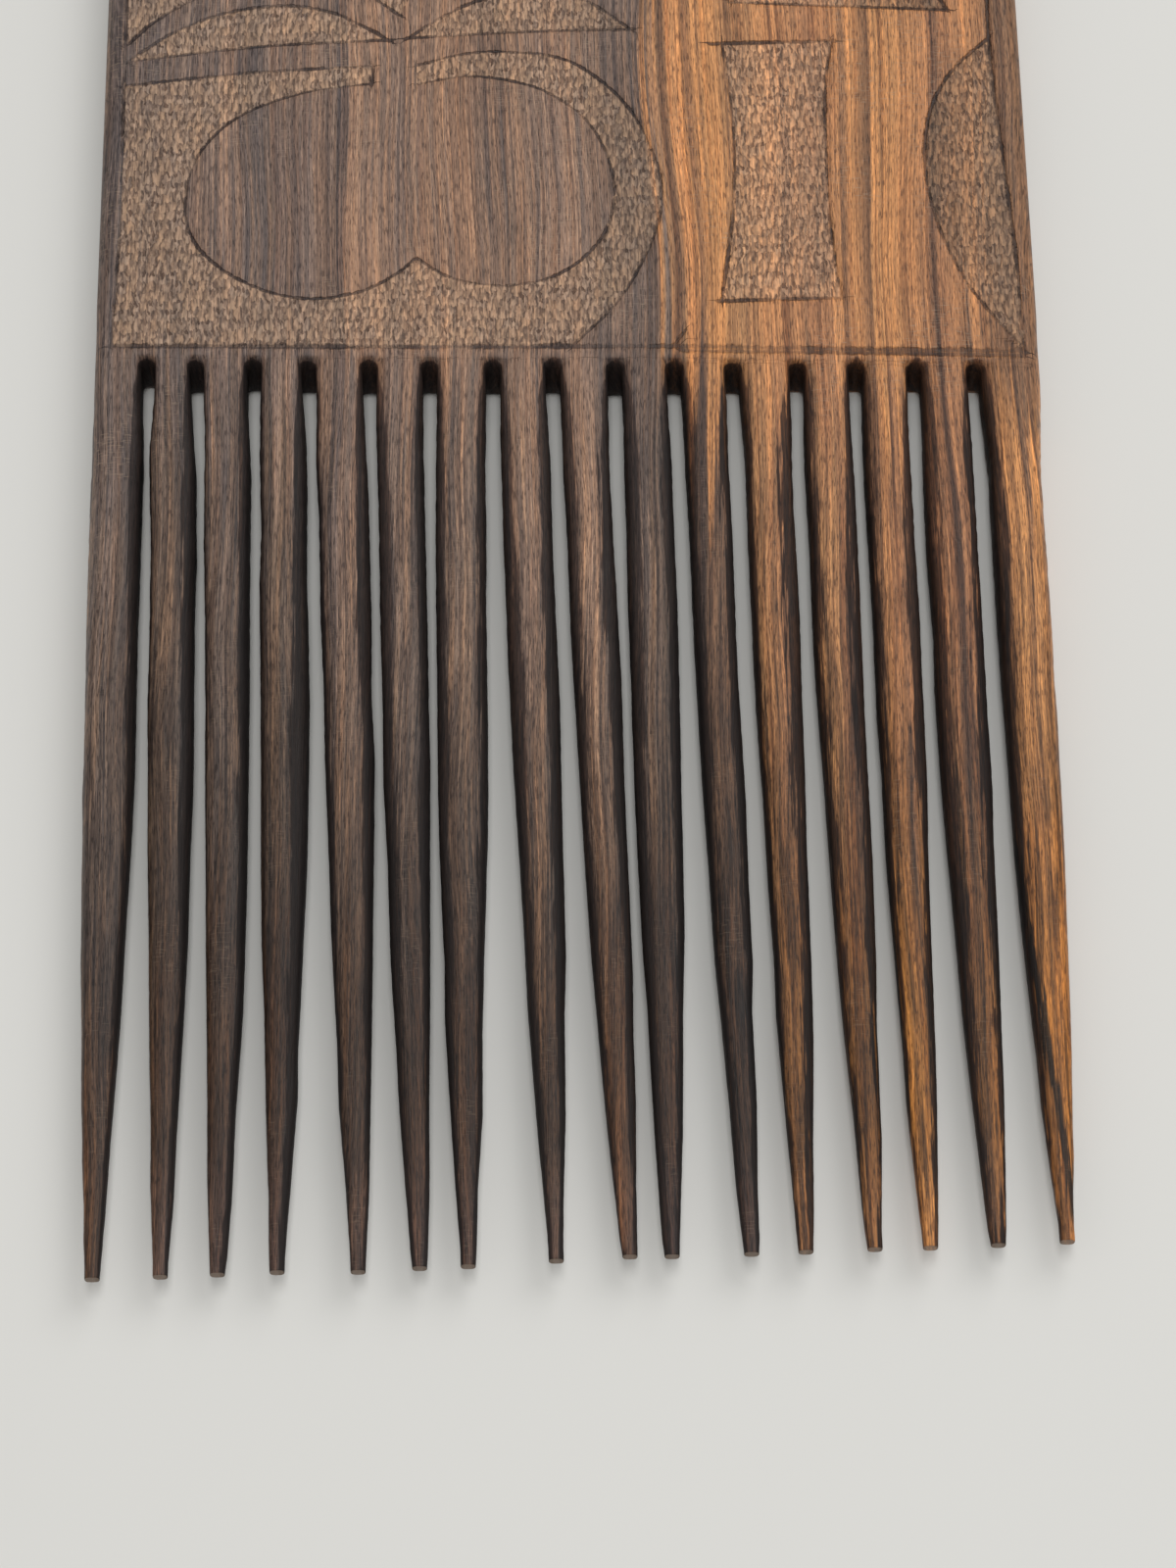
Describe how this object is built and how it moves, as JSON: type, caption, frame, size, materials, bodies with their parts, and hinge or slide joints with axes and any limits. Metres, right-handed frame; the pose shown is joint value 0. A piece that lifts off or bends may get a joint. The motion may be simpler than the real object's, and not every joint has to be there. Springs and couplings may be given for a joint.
{
  "type": "afro pick comb",
  "caption": "Flat hand-carved wooden afro pick with a thick rounded panel and a row of long tapering tines with blunt tips.",
  "frame": {"origin": "under the middle of the comb's box, on its back face, which is the face it lies on", "axes": "+Z out of the carved front, +Y towards the top edge of the panel with the tines pointing along -Y, +X across the comb to the viewer's right"},
  "size_m": [0.1, 0.1924, 0.007],
  "materials": {
    "carved_hardwood": "oiled and handled, satin"
  },
  "bodies": {
    "root": {"panel": "carved_hardwood", "tine_01": "carved_hardwood", "tine_02": "carved_hardwood", "tine_03": "carved_hardwood", "tine_04": "carved_hardwood", "tine_05": "carved_hardwood", "tine_06": "carved_hardwood", "tine_07": "carved_hardwood", "tine_08": "carved_hardwood", "tine_09": "carved_hardwood", "tine_10": "carved_hardwood", "tine_11": "carved_hardwood", "tine_12": "carved_hardwood", "tine_13": "carved_hardwood", "tine_14": "carved_hardwood", "tine_15": "carved_hardwood", "tine_16": "carved_hardwood"}
  },
  "joints": []
}
